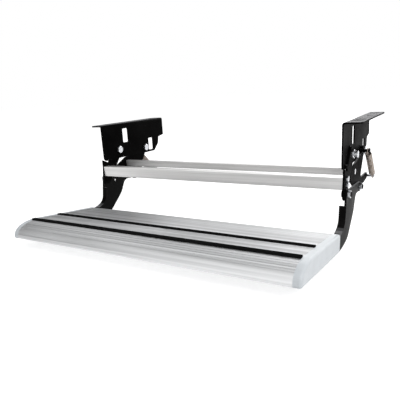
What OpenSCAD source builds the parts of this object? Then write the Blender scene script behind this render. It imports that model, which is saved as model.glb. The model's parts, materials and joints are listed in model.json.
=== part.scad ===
// Pull-out entrance step for a caravan: an aluminium tread on two plate arms,
// swung under the floor by a parallelogram linkage on each side.
// Millimetres. +X to the right seen from the front, +Y back under the floor, +Z up.
// The origin lies in the plane of the two mounting flanges, midway between their slots.

/* [Tread] */
// Length of the tread over its end caps
tread_l = 600; // [560:5:640]
// Depth of the tread from nose to back
tread_d = 221; // [212:1:228]
// Thickness of the tread
tread_t = 34; // [33:1:36]
// Nose-up slope of the tread, degrees
tread_tilt = 6.7; // [5.5:0.1:7.5]
// Depth of the rounded nose, back from the front edge
nose_l = 44; // [40:1:46]
// Wall of the tread extrusion
wall_t = 2.6; // [2.2:0.1:3]
// Distance from rib to rib on the tread
rib_pitch = 4.5; // [4:0.1:5.5]
// Depth of the grooves between ribs
rib_depth = 0.8; // [0.5:0.1:1]
// Width of a grip strip
strip_w = 9; // [8:0.5:10]
// Height of a grip strip above the tread
strip_proud = 3; // [2.5:0.1:3.5]
// Width of an end cap
cap_w = 13.5; // [12.5:0.5:14]
// Skin of an end cap outside the arm
cap_skin = 1.5; // [1.2:0.1:1.8]

/* [Brackets] */
// Length of a mounting bracket
bracket_l = 257; // [250:1:264]
// Height of a bracket at the front
bracket_h = 87; // [85:1:89]
// Height of a bracket at its back end
bracket_back_h = 48; // [44:1:50]
// Thickness of the bracket plate
plate_t = 3; // [2.5:0.1:3]
// Width of the mounting flange, bend included
flange_w = 35; // [34:0.5:38]
// Outer radius of the flange bend
bend_r = 5; // [4:0.5:6]
// Distance from the front slots to the back slots
slot_spread = 180; // [170:1:186]
// Length of a mounting slot
slot_l = 20; // [18:0.5:20]
// Width of a mounting slot
slot_w = 9; // [8:0.5:10]

/* [Linkage] */
// Front pivot behind the bracket's front edge
pivot_front_y = 57; // [55:0.5:59]
// Front pivot below the flange
pivot_front_z = 65; // [64:0.5:66]
// Distance back from the front pivot to the rear pivot
pivot_step_y = 109; // [108:0.5:111]
// Drop from the front pivot to the rear pivot
pivot_step_z = 9; // [8:0.5:10]
// Reach of the links forward of their pivots
link_reach = 50; // [49:0.5:51]
// Drop of the links below their pivots
link_drop = 67; // [66:0.5:68]
// Thickness of the links and levers
link_t = 4; // [3.5:0.1:4.2]
// Thickness of the step arms
arm_t = 4; // [3.5:0.1:4.2]
// Gap between neighbouring plates
side_gap = 0.5; // [0.4:0.1:0.6]
// Diameter of the pivot bolts
pivot_d = 10; // [9:0.5:10]
// Swing of the linkage from out to stowed, degrees
swing = 90; // [80:1:90]

/* [Crossbars] */
// Height of the front crossbar
front_bar_h = 23; // [22:0.5:24]
// Depth of the front crossbar
front_bar_d = 20; // [19:0.5:21]
// Wall of the front crossbar tube
front_bar_wall = 2; // [1.5:0.1:2.5]
// Height of the rear crossbar
rear_bar_h = 15; // [14:0.5:16]
// Depth of the rear crossbar
rear_bar_d = 12; // [11:0.5:13]

/* [Springs] */
// Wire of the springs
wire_d = 2.2; // [2:0.1:2.2]
// Mean diameter of the spring coils
coil_d = 11; // [10.5:0.1:11.2]
// Number of whole coils
coil_turns = 26; // [20:1:27]

/* [Hidden] */
$fn = 48;

// Finishes
black_coat = [0.09, 0.09, 0.10];
zinc = [0.72, 0.73, 0.75];
bright_bar = [0.78, 0.79, 0.80];
silver = [0.74, 0.75, 0.77];
cap_grey = [0.66, 0.69, 0.73];
rubber_black = [0.05, 0.05, 0.05];
spring_grey = [0.42, 0.39, 0.36];

// Planes across the step, from the cap's outer face inward
half_l = tread_l / 2;
arm_out = half_l - cap_skin;
arm_in = arm_out - arm_t;
link_out = arm_in - side_gap;
link_in = link_out - link_t;
plate_out = link_in - side_gap;
plate_in = plate_out - plate_t;
ext_half = half_l - cap_w;
// Clearances
run_fit = 0.05;
open_fit = 0.25;
face_gap = 0.2;
stop_gap = 0.4;
cut = 1;

// Places in the side view, as [y, z]
front_y = -bracket_l / 2;
function side(y, z) = [front_y + y, z];
front_pivot = side(pivot_front_y, -pivot_front_z);
rear_pivot = front_pivot + [pivot_step_y, -pivot_step_z];
link_vector = [-link_reach, -link_drop];
lower_front = front_pivot + link_vector;
lower_rear = rear_pivot + link_vector;
front_bar_at = side(8, -111.5);
rear_bar_at = side(91, -105.5);
// The spring's lower stud, and its anchor on the line that halves the stud's swing,
// so that the spring is as long stowed as out
stud_reach = [48, -63];
anchor_reach = 19.4;
stud_mid = atan2(stud_reach.y, stud_reach.x) + swing / 2;
lever_stud_at = rear_pivot + stud_reach;
anchor_at = rear_pivot - anchor_reach * [cos(stud_mid), sin(stud_mid)];

// Tread frame: nose bottom at its origin, sloped and hung below the flange
tread_back_y = 250;
tread_drop = 230;
function tread_point(y, z) = [
    front_y + (y - tread_back_y) * cos(tread_tilt) + (z - tread_drop) * sin(tread_tilt),
    -(y - tread_back_y) * sin(tread_tilt) + (z - tread_drop) * cos(tread_tilt)];

// Sizes of fasteners
bolt_af = 16;
bolt_head_h = 6.4;
thin_nut_h = 5;
pin_head_r = 7;
pin_head_h = 2.6;
lower_nut_af = 14;
m6_r = 3;
m6_af = 10;
m6_head_h = 4;
csk_r = 6;
csk_h = 3;
stop_r = 4;
stud_r = 3.5;
stud_head_r = 5.5;
stud_head_h = 2;
link_top_r = 16;
link_end_r = 13;
arm_eye_r = 10;

// Spring line, outside the nuts
spring_clear = 0.9;
stud_spare = 1.4;
spring_x = link_out + thin_nut_h + face_gap + coil_d / 2 + wire_d / 2 + spring_clear;
stud_end = spring_x + wire_d / 2 + stud_spare;

// A hexagon's corner radius from its width across flats
function hex_r(af) = af / sqrt(3);

// Points of an arc
function arc(c, r, a0, a1, n) = [for (i = [0:n])
    let (a = a0 + (a1 - a0) * i / n)
    c + r * [cos(a), sin(a)]];

// Stretches a side-view outline from x0 to x1 across the step
module across(x0, x1) {
    translate([x0, 0, 0])
        rotate([90, 0, 90])
            linear_extrude(x1 - x0)
                children();
}

// A round bar across the step from x0 to x1, at a side-view place
module rod(p, r, x0, x1) {
    translate([x0, p.x, p.y])
        rotate([0, 90, 0])
            cylinder(r = r, h = x1 - x0);
}

// A hexagonal bar across the step
module hex_rod(p, af, x0, x1) {
    translate([x0, p.x, p.y])
        rotate([0, 90, 0])
            cylinder(r = hex_r(af), h = x1 - x0, $fn = 6);
}

// The same thing on both sides
module both_sides() {
    children();
    mirror([1, 0, 0])
        children();
}

// Draws its child in the tread's own sloped frame
module in_tread_frame() {
    translate([0, front_y, 0])
        rotate([-tread_tilt, 0, 0])
            translate([0, -tread_back_y, -tread_drop])
                children();
}

// Points of a smooth bend from a to c, drawn towards b
function bend(a, b, c, n) = [for (i = [0:n])
    let (t = i / n)
    (1 - t) * (1 - t) * a + 2 * t * (1 - t) * b + t * t * c];

// A rectangular window with round corners, from its low corner to its high corner
module window2d(low, high, r) {
    translate([low.x + r, low.y])
        square([high.x - low.x - 2 * r, high.y - low.y]);
    translate([low.x, low.y + r])
        square([high.x - low.x, high.y - low.y - 2 * r]);
    for (x = [low.x + r, high.x - r])
        for (y = [low.y + r, high.y - r])
            translate([x, y])
                circle(r = r);
}

// Brackets

corner_r = 9;
lobe_z = -89;
window_r = 3;
front_window = [side(77, -50), side(98, -14)];
rear_window = [side(184, -84), side(204, -51)];
module bracket_side2d() {
    difference() {
        polygon(concat(
            [side(0, -bend_r), side(bracket_l, -bend_r), side(bracket_l, -bracket_back_h),
             side(233, -bracket_back_h - 4)],
            [side(229, -70), side(209, lobe_z), side(150, lobe_z), side(120, -bracket_h)],
            arc(side(corner_r, -bracket_h + corner_r), corner_r, 270, 180, 6)));
        for (w = [front_window, rear_window])
            window2d(w[0], w[1], window_r);
    }
}

// The flange seen from above, as [x, y]
module flange2d() {
    edge = plate_in + flange_w;
    difference() {
        polygon(concat(
            [[plate_in + bend_r, -bracket_l / 2]],
            arc([edge - corner_r, -bracket_l / 2 + corner_r], corner_r, 270, 360, 6),
            arc([edge - corner_r, bracket_l / 2 - corner_r], corner_r, 0, 90, 6),
            [[plate_in + bend_r, bracket_l / 2]]));
        for (y = [-slot_spread / 2, slot_spread / 2])
            slot2d(y);
        slot2d(-slot_spread / 2 + extra_slot_y);
        translate([slot_x, extra_hole_y])
            circle(d = slot_w);
    }
}

// Centre line of the slots, and a spare slot and hole between them
slot_x = plate_in + flange_w / 2 + 2;
extra_slot_y = 26;
extra_hole_y = 20;
module slot2d(y) {
    for (s = [-1, 1])
        translate([slot_x + s * (slot_l - slot_w) / 2, y])
            circle(d = slot_w);
    translate([slot_x - (slot_l - slot_w) / 2, y - slot_w / 2])
        square([slot_l - slot_w, slot_w]);
}

module flange_bend() {
    translate([plate_in + bend_r, -bracket_l / 2, -bend_r])
        rotate([-90, 0, 0])
            difference() {
                intersection() {
                    cylinder(r = bend_r, h = bracket_l);
                    translate([-bend_r, -bend_r, 0])
                        cube([bend_r, bend_r, bracket_l]);
                }
                translate([0, 0, -cut])
                    cylinder(r = bend_r - plate_t, h = bracket_l + 2 * cut);
            }
}

module bracket() {
    difference() {
        union() {
            across(plate_in, plate_out)
                bracket_side2d();
            flange_bend();
            translate([0, 0, -plate_t])
                linear_extrude(plate_t)
                    flange2d();
        }
        for (p = [front_pivot, rear_pivot])
            rod(p, pivot_d / 2, plate_in - cut, plate_out + cut);
        rod(anchor_at, stud_r, plate_in - cut, plate_out + cut);
        for (p = [stop_out_at, stop_stowed_at])
            rod(p, stop_r - cut, plate_in - cut, plate_out + cut);
    }
}

module right_bracket() {
    color(black_coat)
        bracket();
}

module left_bracket() {
    color(black_coat)
        mirror([1, 0, 0])
            bracket();
}

// Upper pivots, fixed in the brackets

module pivot_bolt(p, nut_l) {
    hex_rod(p, bolt_af, plate_in - bolt_head_h, plate_in);
    rod(p, pivot_d / 2, plate_in, nut_in + nut_l);
}

nut_in = link_out + face_gap;
barrel_r = 6.75;
barrel_l = 11;
barrel_hex_l = 4;

// A thin hexagon nut, where the spring passes outside it
module thin_nut(p) {
    difference() {
        hex_rod(p, bolt_af, nut_in, nut_in + thin_nut_h);
        rod(p, pivot_d / 2, nut_in - cut, nut_in + thin_nut_h + cut);
    }
}

// A long nut with a round sleeve
module barrel_nut(p) {
    difference() {
        union() {
            hex_rod(p, bolt_af, nut_in, nut_in + barrel_hex_l);
            rod(p, barrel_r, nut_in, nut_in + barrel_l);
        }
        rod(p, pivot_d / 2, nut_in - cut, nut_in + barrel_l + cut);
    }
}

module front_pivot_bolts() {
    color(zinc)
        both_sides()
            pivot_bolt(front_pivot, barrel_l);
}

module rear_pivot_bolts() {
    color(zinc)
        both_sides()
            pivot_bolt(rear_pivot, thin_nut_h);
}

module front_pivot_nuts() {
    color(zinc)
        both_sides()
            barrel_nut(front_pivot);
}

module rear_pivot_nuts() {
    color(zinc)
        both_sides()
            thin_nut(rear_pivot);
}

// Stops: one meets the link's front edge when the step is out, one its back edge when stowed
stop_reach = 38;
link_dir = link_vector / norm(link_vector);
link_front = [link_dir.y, -link_dir.x];
stop_side = link_top_r + stop_r + stop_gap;
function turned(v, a) = [v.x * cos(a) - v.y * sin(a), v.x * sin(a) + v.y * cos(a)];
stop_out_at = front_pivot + stop_reach * link_dir + stop_side * link_front;
stop_stowed_at = front_pivot + turned(stop_reach * link_dir - stop_side * link_front, swing);

module stop_pins() {
    color(zinc)
        both_sides()
            for (p = [stop_out_at, stop_stowed_at]) {
                rod(p, stop_r - cut, plate_in, plate_out);
                rod(p, stop_r, plate_out, link_out);
            }
}

// A stud with a head that keeps the spring's eye on
module stud(p, x0) {
    rod(p, stud_r, x0, stud_end);
    rod(p, stud_head_r, stud_end, stud_end + stud_head_h);
}

module spring_anchor_studs() {
    color(zinc)
        both_sides()
            stud(anchor_at, plate_in);
}

// Springs: one wire each, an eye at either end and close coils between

eye_r = stud_r + wire_d / 2 + face_gap;
eye_turn = 128;
spring_span = norm(lever_stud_at - anchor_at);
spring_dir = (lever_stud_at - anchor_at) / spring_span;
spring_side = [-spring_dir.y, spring_dir.x];
coil_r = coil_d / 2;
wire_sides = 6;
rings_per_turn = 8;
eye_rings = 8;
coil_space = 0.65;
coil_pitch = wire_d + coil_space;
coil_l = coil_pitch * coil_turns;
hook_l = (spring_span - coil_l) / 2;

// A point given along the spring, to its side and out from it
function spring_point(s, p, x) = [spring_x + x,
    anchor_at.x + s * spring_dir.x + p * spring_side.x,
    anchor_at.y + s * spring_dir.y + p * spring_side.y];

first_eye = [for (i = [0:eye_rings])
    let (a = 180 - eye_turn + 2 * eye_turn * i / eye_rings)
    spring_point(eye_r * cos(a), eye_r * sin(a), 0)];
coil_path = [for (i = [0:coil_turns * rings_per_turn])
    let (a = 180 + 360 * i / rings_per_turn)
    spring_point(hook_l + coil_l * i / (coil_turns * rings_per_turn), coil_r * cos(a), coil_r * sin(a))];
last_eye = [for (i = [0:eye_rings])
    let (a = -eye_turn + 2 * eye_turn * i / eye_rings)
    spring_point(spring_span + eye_r * cos(a), eye_r * sin(a), 0)];
wire_path = concat(first_eye, coil_path, last_eye);
wire_last = len(wire_path) - 1;

function unit(v) = v / norm(v);
function heading(i) = unit(wire_path[min(i + 1, wire_last)] - wire_path[max(i - 1, 0)]);
function level(v, t) = unit(v - (v * t) * t);
wire_normals = [for (i = 0, n = level([1, 0, 0], heading(0)); i <= wire_last;
    i = i + 1, n = i > wire_last ? n : level(n, heading(i))) n];

// Least gap from wire to wire, measured between points at least half a turn apart
half_turn = rings_per_turn / 2;
wire_gap = min([for (i = [0:wire_last])
    for (j = [i + half_turn:1:wire_last])
        norm(wire_path[i] - wire_path[j])]) - wire_d;
echo(wire_gap = wire_gap);

module wire_spring() {
    points = [for (i = [0:wire_last])
        let (t = heading(i), n = wire_normals[i], b = cross(t, n))
        for (j = [0:wire_sides - 1])
            wire_path[i] + wire_d / 2 * (cos(360 * j / wire_sides) * n + sin(360 * j / wire_sides) * b)];
    walls = [for (i = [0:wire_last - 1])
        for (j = [0:wire_sides - 1])
            let (k = (j + 1) % wire_sides, a = i * wire_sides, b = a + wire_sides)
            each [[a + j, b + j, b + k], [a + j, b + k, a + k]]];
    start = [[for (j = [0:wire_sides - 1]) j]];
    finish = [[for (j = [wire_sides - 1:-1:0]) wire_last * wire_sides + j]];
    polyhedron(points, concat(walls, start, finish), convexity = 10);
}

module right_spring() {
    color(spring_grey)
        wire_spring();
}

module left_spring() {
    color(spring_grey)
        mirror([1, 0, 0])
            wire_spring();
}

// Front links and the crossbar that ties them

front_bar_holes = [front_bar_at + [5, 7], front_bar_at + [5, -5]];
// The link widens in front, where it carries the crossbar
lobe_along = 46;
lobe_out = 15;
lobe_from = front_pivot + lobe_along * link_dir + lobe_out * link_front;
lobe_edge = [side(-2, -84), side(-2.5, -103), side(-6, -127)];
lobe_turn = 30;
module front_link_side2d() {
    along = atan2(link_vector.y, link_vector.x);
    lean = acos((link_top_r - link_end_r) / norm(link_vector));
    polygon(concat(
        arc(front_pivot, link_top_r, along + lean, along + 360 - lean, 16),
        [lobe_from],
        lobe_edge,
        arc(lower_front, link_end_r, along - lean + lobe_turn, along + lean, 14)));
}

module front_link() {
    difference() {
        across(link_in, link_out)
            front_link_side2d();
        for (p = [front_pivot, lower_front])
            rod(p, pivot_d / 2 + run_fit, link_in - cut, link_out + cut);
        for (p = front_bar_holes)
            rod(p, m6_r, link_in - cut, link_out + cut);
    }
}

module right_front_link() {
    color(black_coat)
        front_link();
}

module left_front_link() {
    color(black_coat)
        mirror([1, 0, 0])
            front_link();
}

bar_end = 8;
module front_crossbar() {
    color(bright_bar)
        difference() {
            translate([-link_in, front_bar_at.x - front_bar_d / 2, front_bar_at.y - front_bar_h / 2])
                cube([2 * link_in, front_bar_d, front_bar_h]);
            translate([-link_in + bar_end, front_bar_at.x - front_bar_d / 2 + front_bar_wall,
                front_bar_at.y - front_bar_h / 2 + front_bar_wall])
                cube([2 * (link_in - bar_end), front_bar_d - 2 * front_bar_wall,
                    front_bar_h - 2 * front_bar_wall]);
            both_sides()
                for (p = front_bar_holes)
                    rod(p, m6_r, link_in - bar_end - cut, link_in + cut);
        }
}

module front_bar_bolts() {
    color(zinc)
        both_sides()
            for (p = front_bar_holes) {
                hex_rod(p, m6_af, link_out, link_out + m6_head_h);
                rod(p, m6_r, link_in - bar_end, link_out);
            }
}

// Rear levers, with a foot behind for the spring, and the crossbar that ties them

web_top = side(86, -98);
web_front = side(57, -111);
web_r = 9;
foot_r = 7;
lever_top_r = 11;
lever_end_r = 12;
lever_hollow = 22;
foot_dir = unit(lever_stud_at - lower_rear);
// Where the foot's upper edge meets the lever's back edge
crook_up = 24;
crook_shift = [8.5, -8.5];
lever_crook = lower_rear - crook_up * link_dir + crook_shift;
module lever_side2d() {
    polygon(concat(
        arc(rear_pivot, lever_top_r, -40, 200, 16),
        arc(web_top, web_r, 93, 114, 3),
        arc(web_front, web_r, 114, 240, 10),
        arc(lower_rear, lever_end_r, 240, 273, 4),
        arc(lever_stud_at, foot_r, 270, 450, 12),
        bend(lever_crook + lever_hollow * foot_dir, lever_crook, lever_crook - lever_hollow * link_dir, 6)));
}

module rear_lever() {
    difference() {
        across(link_in, link_out)
            lever_side2d();
        rod(rear_pivot, pivot_d / 2 + run_fit, link_in - cut, link_out + cut);
        rod(lower_rear, pivot_d / 2 + open_fit, link_in - cut, link_out + cut);
        rod(lever_stud_at, stud_r, link_in - cut, link_out + cut);
        countersunk(rear_bar_at, link_in - cut, link_out);
    }
}

// A countersunk screw across the step: its head's flat face is at x1
module countersunk(p, x0, x1) {
    rod(p, m6_r, x0, x1 - csk_h);
    translate([x1 - csk_h, p.x, p.y])
        rotate([0, 90, 0])
            cylinder(r1 = m6_r, r2 = csk_r, h = csk_h);
}

module right_rear_lever() {
    color(black_coat)
        rear_lever();
}

module left_rear_lever() {
    color(black_coat)
        mirror([1, 0, 0])
            rear_lever();
}

screw_depth = 16;
module rear_crossbar() {
    color(bright_bar)
        difference() {
            translate([-link_in, rear_bar_at.x - rear_bar_d / 2, rear_bar_at.y - rear_bar_h / 2])
                cube([2 * link_in, rear_bar_d, rear_bar_h]);
            both_sides()
                rod(rear_bar_at, m6_r, link_in - screw_depth, link_in + cut);
        }
}

module rear_bar_screws() {
    color(zinc)
        both_sides()
            countersunk(rear_bar_at, link_in - screw_depth, link_out);
}

module lever_spring_studs() {
    color(zinc)
        both_sides()
            stud(lever_stud_at, link_in);
}

// Step arms, from the lower pivots down into the ends of the tread

arm_foot_screw_y = [110, 170];
arm_foot_mid = tread_t / 2;
foot_edge = 5;
foot_front = 70;
arm_hole_at = side(41, -142);
arm_hole_r = 3.5;
// The arm's back edge, from under the rear pivot down to the back of the tread
arm_behind = 1;
arm_low = 1.5;
arm_back = concat(
    bend(side(92, -148), side(76, -146), side(70, -160), 4),
    bend(side(62, -174), side(58, -180), side(46, -190), 3),
    bend(side(17, -214), side(6, -223.5), tread_point(tread_d + arm_behind, arm_low), 4));
// The arm's front edge, up from the back of the tread
arm_front = bend(tread_point(tread_d, tread_t - foot_edge), side(-13, -195), side(-9, -174), 6);
module arm_side2d() {
    polygon(concat(
        arc(lower_front, arm_eye_r, 190, 40, 12),
        arc(lower_rear, arm_eye_r, 92, -120, 12),
        arm_back,
        [tread_point(tread_d + arm_behind, foot_edge)],
        [tread_point(foot_front, foot_edge), tread_point(foot_front, tread_t - foot_edge)],
        arm_front));
}

// The arm's front edge turns inward as a flange
lip_w = 9;
lip_in = 3;
lip_proud = 0.5;
lip_top = side(-6, -152);
lip_path = [for (i = [1:len(arm_front)]) i < len(arm_front) ? arm_front[i] : lip_top];
lip_last = len(lip_path) - 1;
function lip_edge(d) = [for (i = [0:lip_last])
    let (t = unit(lip_path[min(i + 1, lip_last)] - lip_path[max(i - 1, 0)]))
    lip_path[i] + d * [-t.y, t.x]];
module lip_side2d() {
    inner = lip_edge(-lip_in);
    polygon(concat(lip_edge(lip_proud), [for (i = [lip_last:-1:0]) inner[i]]));
}

module step_arm() {
    difference() {
        union() {
            across(arm_in, arm_out)
                arm_side2d();
            across(arm_in - lip_w, arm_out - lip_proud)
                lip_side2d();
        }
        for (p = [lower_front, lower_rear])
            rod(p, pivot_d / 2, arm_in - cut, arm_out + cut);
        rod(arm_hole_at, arm_hole_r, arm_in - cut, arm_out + cut);
        for (y = arm_foot_screw_y)
            countersunk(tread_point(y, arm_foot_mid), arm_in - cut, arm_out);
    }
}

module right_step_arm() {
    color(black_coat)
        step_arm();
}

module left_step_arm() {
    color(black_coat)
        mirror([1, 0, 0])
            step_arm();
}

// Lower pivots: shouldered pins with a nut outside the arm

pin_tail = 1.5;
module lower_pin(p) {
    rod(p, pin_head_r, link_in - face_gap - pin_head_h, link_in - face_gap);
    rod(p, pivot_d / 2, link_in - face_gap, arm_out + thin_nut_h + pin_tail);
}

module lower_nut(p) {
    difference() {
        hex_rod(p, lower_nut_af, arm_out, arm_out + thin_nut_h);
        rod(p, pivot_d / 2, arm_out - cut, arm_out + thin_nut_h + cut);
    }
}

module lower_front_pins() {
    color(zinc)
        both_sides()
            lower_pin(lower_front);
}

module lower_rear_pins() {
    color(zinc)
        both_sides()
            lower_pin(lower_rear);
}

module lower_front_nuts() {
    color(zinc)
        both_sides()
            lower_nut(lower_front);
}

module lower_rear_nuts() {
    color(zinc)
        both_sides()
            lower_nut(lower_rear);
}

// Tread: a ribbed, hollow extrusion

edge_r = 4;
strip_sink = 5;
strip_back = [45, 112];
web_y = [62, 125, 172];
port_y = [88, 148];
port_r = 6.2;
port_z = 9;
rib_w = 1.6;
nose_grooves = [0.24, 0.33, 0.42, 0.51, 0.60];

// The nose falls in one curve from the top to just above the front's lower edge
nose_start = [nose_l, tread_t];
nose_turn = [0, 28];
nose_end = [0, edge_r + 1];
nose_steps = 14;
function nose_at(t) = (1 - t) * (1 - t) * nose_start + 2 * t * (1 - t) * nose_turn + t * t * nose_end;
function nose_in(t) =
    let (v = (1 - t) * (nose_turn - nose_start) + t * (nose_end - nose_turn))
    [-v.y, v.x] / norm(v);

// Outer section of the tread, drawn in by d, as [y, z]
function tread_outline(d) = concat(
    arc([edge_r, edge_r], edge_r - d, 180, 270, 4),
    arc([tread_d - edge_r, edge_r], edge_r - d, 270, 360, 4),
    arc([tread_d - edge_r, tread_t - edge_r], edge_r - d, 0, 90, 4),
    [for (i = [0:nose_steps]) nose_at(i / nose_steps) + d * nose_in(i / nose_steps)]);

// True where a rib groove would run into a grip strip
function near_strip(y) = len([for (b = strip_back) if (y > b - strip_w - rib_w && y < b + rib_w) 1]) > 0;
groove_y = [for (y = [nose_l + 2:rib_pitch:tread_d - edge_r - rib_w]) if (!near_strip(y)) y];

module tread_section2d() {
    difference() {
        union() {
            difference() {
                polygon(tread_outline(0));
                polygon(tread_outline(wall_t + rib_depth));
            }
            intersection() {
                polygon(tread_outline(wall_t));
                union() {
                    for (y = web_y)
                        translate([y, 0])
                            square([wall_t, tread_t]);
                    for (b = strip_back)
                        translate([b - strip_w - wall_t, tread_t - strip_sink - wall_t])
                            square([strip_w + 2 * wall_t, strip_sink + wall_t]);
                    for (y = port_y)
                        translate([y, port_z])
                            circle(r = port_r);
                }
            }
        }
        for (b = strip_back)
            translate([b - strip_w, tread_t - strip_sink])
                square([strip_w, strip_sink + cut]);
        for (y = groove_y)
            translate([y, tread_t - rib_depth])
                square([rib_w, rib_depth + cut]);
        for (t = nose_grooves)
            translate(nose_at(t))
                rotate(atan2(nose_in(t).y, nose_in(t).x))
                    translate([-cut, -rib_w / 2])
                        square([rib_depth + cut, rib_w]);
        for (y = port_y)
            translate([y, port_z])
                circle(r = m6_r);
    }
}

module tread() {
    color(silver)
        in_tread_frame()
            across(-ext_half, ext_half)
                tread_section2d();
}

// A grip strip with two shallow grooves along its top
strip_groove = 1;
groove_shares = [0.3, 0.7];
module grip_strip(back) {
    color(rubber_black)
        in_tread_frame()
            across(-ext_half, ext_half)
                difference() {
                    translate([back - strip_w, tread_t - strip_sink])
                        square([strip_w, strip_sink + strip_proud]);
                    for (f = groove_shares)
                        translate([back - f * strip_w - strip_groove / 2,
                            tread_t + strip_proud - strip_groove])
                            square([strip_groove, strip_groove + cut]);
                }
}

module front_grip_strip() {
    grip_strip(strip_back[0]);
}

module rear_grip_strip() {
    grip_strip(strip_back[1]);
}

// Steel plates between the extrusion's ends and the arms

plate_front = 66;
plate_back = 190;
plate_edge = 2.5;
plate_corner = 4;
module tread_plate() {
    difference() {
        in_tread_frame()
            across(ext_half, arm_in)
                window2d([plate_front, plate_edge],
                    [plate_back, tread_t - plate_edge - wall_t], plate_corner);
        for (y = port_y)
            countersunk(tread_point(y, port_z), ext_half - cut, arm_in);
        for (y = arm_foot_screw_y)
            rod(tread_point(y, arm_foot_mid), m6_r, ext_half - cut, arm_in + cut);
    }
}

module right_tread_plate() {
    color(zinc)
        tread_plate();
}

module left_tread_plate() {
    color(zinc)
        mirror([1, 0, 0])
            tread_plate();
}

port_screw_l = 24;
module tread_plate_screws() {
    color(zinc)
        both_sides()
            for (y = port_y)
                countersunk(tread_point(y, port_z), ext_half - port_screw_l, arm_in);
}

module arm_foot_screws() {
    color(zinc)
        both_sides()
            for (y = arm_foot_screw_y)
                countersunk(tread_point(y, arm_foot_mid), ext_half, arm_out);
}

// End caps: moulded cups over the tread's ends, slotted at the back for the arm

cap_wall = 2.2;
cap_round = 4.5;
cap_slices = [1, 0.6, 0.3, 0.1, 0];
function cap_drop(e) = cap_round - sqrt(cap_round * cap_round - (cap_round - e) * (cap_round - e));
cap_slot_gap = 1;
thin_slice = 0.01;
module end_cap() {
    difference() {
        in_tread_frame() {
            across(ext_half, half_l - cap_round)
                polygon(tread_outline(0));
            hull()
                for (share = cap_slices)
                    across(half_l - share * cap_round - thin_slice, half_l - share * cap_round)
                        polygon(tread_outline(cap_drop(share * cap_round)));
        }
        in_tread_frame() {
            across(ext_half - cut, arm_out)
                polygon(tread_outline(cap_wall));
            translate([arm_in - face_gap, tread_d - edge_r - cap_wall, foot_edge - cap_slot_gap])
                cube([arm_t + face_gap, 2 * edge_r + cap_wall, tread_t - 2 * (foot_edge - cap_slot_gap)]);
        }
    }
}

module right_end_cap() {
    color(cap_grey)
        end_cap();
}

module left_end_cap() {
    color(cap_grey)
        mirror([1, 0, 0])
            end_cap();
}

left_bracket();
right_bracket();
front_pivot_bolts();
rear_pivot_bolts();
front_pivot_nuts();
rear_pivot_nuts();
stop_pins();
spring_anchor_studs();
left_spring();
right_spring();
left_front_link();
right_front_link();
front_crossbar();
front_bar_bolts();
left_rear_lever();
right_rear_lever();
rear_crossbar();
rear_bar_screws();
lever_spring_studs();
left_step_arm();
right_step_arm();
lower_front_pins();
lower_front_nuts();
lower_rear_pins();
lower_rear_nuts();
tread();
front_grip_strip();
rear_grip_strip();
left_tread_plate();
right_tread_plate();
tread_plate_screws();
arm_foot_screws();
left_end_cap();
right_end_cap();
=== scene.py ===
"""Studio scene for the pull-out caravan step.

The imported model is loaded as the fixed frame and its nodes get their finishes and
softened edges. Springs, grip strips, nuts and bolt heads are made as finer pieces that
stand for the plain solids. The step's sizes are in millimetres until a mesh is made.
Finishes and the studio are given in metres.
"""

from __future__ import annotations

import functools
import json
import logging
import math
from dataclasses import dataclass, field
from enum import Enum
from typing import Sequence

import bmesh
import bpy
from mathutils import Matrix, Vector

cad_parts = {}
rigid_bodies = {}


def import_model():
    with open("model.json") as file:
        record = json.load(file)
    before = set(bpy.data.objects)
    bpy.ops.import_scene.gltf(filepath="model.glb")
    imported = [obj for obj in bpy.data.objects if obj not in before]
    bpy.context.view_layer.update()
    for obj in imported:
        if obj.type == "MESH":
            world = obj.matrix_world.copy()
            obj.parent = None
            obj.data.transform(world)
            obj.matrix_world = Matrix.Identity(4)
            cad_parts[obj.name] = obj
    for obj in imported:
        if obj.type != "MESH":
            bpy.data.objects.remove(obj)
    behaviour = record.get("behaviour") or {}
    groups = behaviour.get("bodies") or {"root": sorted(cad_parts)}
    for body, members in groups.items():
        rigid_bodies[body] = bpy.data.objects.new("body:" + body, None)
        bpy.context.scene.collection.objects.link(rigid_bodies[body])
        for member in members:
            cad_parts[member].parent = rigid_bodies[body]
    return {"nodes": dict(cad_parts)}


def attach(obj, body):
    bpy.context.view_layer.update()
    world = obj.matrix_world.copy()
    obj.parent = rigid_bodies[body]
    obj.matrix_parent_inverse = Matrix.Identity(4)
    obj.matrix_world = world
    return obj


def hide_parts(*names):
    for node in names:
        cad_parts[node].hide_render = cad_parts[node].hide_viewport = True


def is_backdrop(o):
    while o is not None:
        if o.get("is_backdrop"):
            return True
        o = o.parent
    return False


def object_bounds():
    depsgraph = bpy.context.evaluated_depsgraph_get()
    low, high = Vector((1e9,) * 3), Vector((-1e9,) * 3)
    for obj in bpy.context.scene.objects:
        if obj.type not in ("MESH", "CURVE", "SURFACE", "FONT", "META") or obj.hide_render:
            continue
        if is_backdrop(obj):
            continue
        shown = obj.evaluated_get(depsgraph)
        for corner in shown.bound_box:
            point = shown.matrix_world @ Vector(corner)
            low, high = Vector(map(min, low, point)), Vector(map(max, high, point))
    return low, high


LOG = logging.getLogger("caravan_step")
# Metres in a millimetre, and the distance in metres below which points are joined
MM = 0.001
WELD = 0.00001
# Corners of a square, as shares of half its sides
SQUARE = ((-1.0, -1.0), (1.0, -1.0), (1.0, 1.0), (-1.0, 1.0))
WHITE = (1.0, 1.0, 1.0)
Colour = tuple[float, float, float]
Triple = tuple[float, float, float]
Side = tuple[float, float]
Span = tuple[float, float]
Socket = bpy.types.NodeSocket


class Body(str, Enum):
    """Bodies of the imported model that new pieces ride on."""

    FRAME = "frame"
    SPRINGS = "springs"
    LINKS = "front_links"
    STEP = "step"


class Slot(str, Enum):
    """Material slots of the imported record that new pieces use."""

    ZINC = "zinc"
    RUBBER = "grip_rubber"
    SPRING = "spring_steel"


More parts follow.
